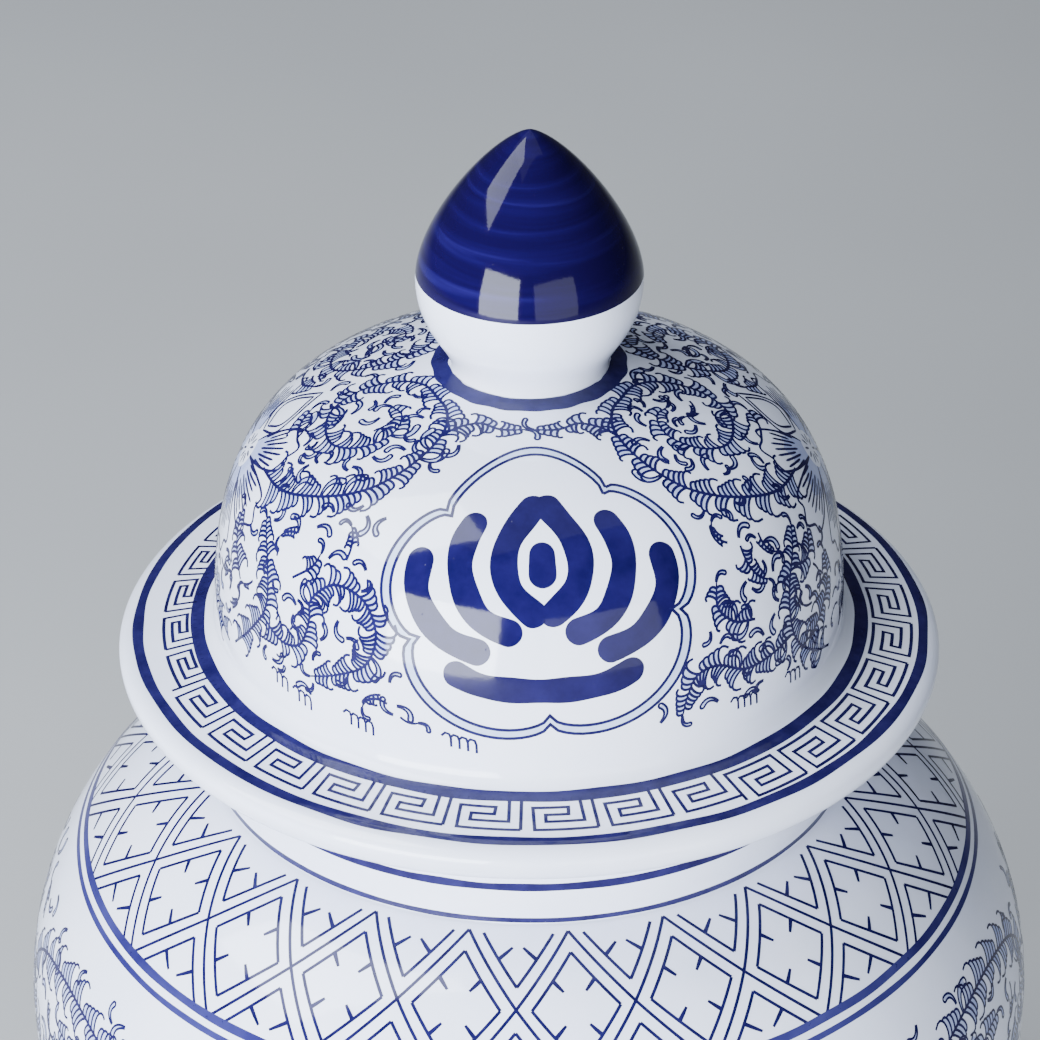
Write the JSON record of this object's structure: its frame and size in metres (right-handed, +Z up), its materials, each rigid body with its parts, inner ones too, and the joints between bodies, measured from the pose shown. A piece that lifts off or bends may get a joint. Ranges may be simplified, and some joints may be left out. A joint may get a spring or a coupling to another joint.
{
  "type": "ginger jar",
  "caption": "Lidded blue and white porcelain ginger jar: high-shouldered body on a foot ring, upright neck, and a domed lid with a wide brim and a bud finial that lifts off.",
  "frame": {"origin": "centre of the foot ring's resting face", "axes": "+Z up along the jar's axis of revolution, +X to the right and -Y to the front, with one lid medallion facing -Y"},
  "size_m": [0.266, 0.266, 0.43],
  "materials": {
    "white_glaze": "clear high-gloss glaze on bluish-white porcelain",
    "cobalt_blue": "cobalt-blue painting under the same high-gloss glaze",
    "bare_porcelain": "unglazed fired porcelain, matte"
  },
  "bodies": {
    "jar": {"foot_ring": "white_glaze", "lower_body": "white_glaze", "upper_body": "white_glaze", "neck_collar": "white_glaze"},
    "lid": {"lid_shell": "white_glaze", "lid_locating_ring": "bare_porcelain", "finial": "cobalt_blue"}
  },
  "joints": [
    {"name": "lid_lift", "type": "slide", "parent": "jar", "child": "lid", "axis": [0, 0, 1], "range_m": [0, 0.15]}
  ]
}
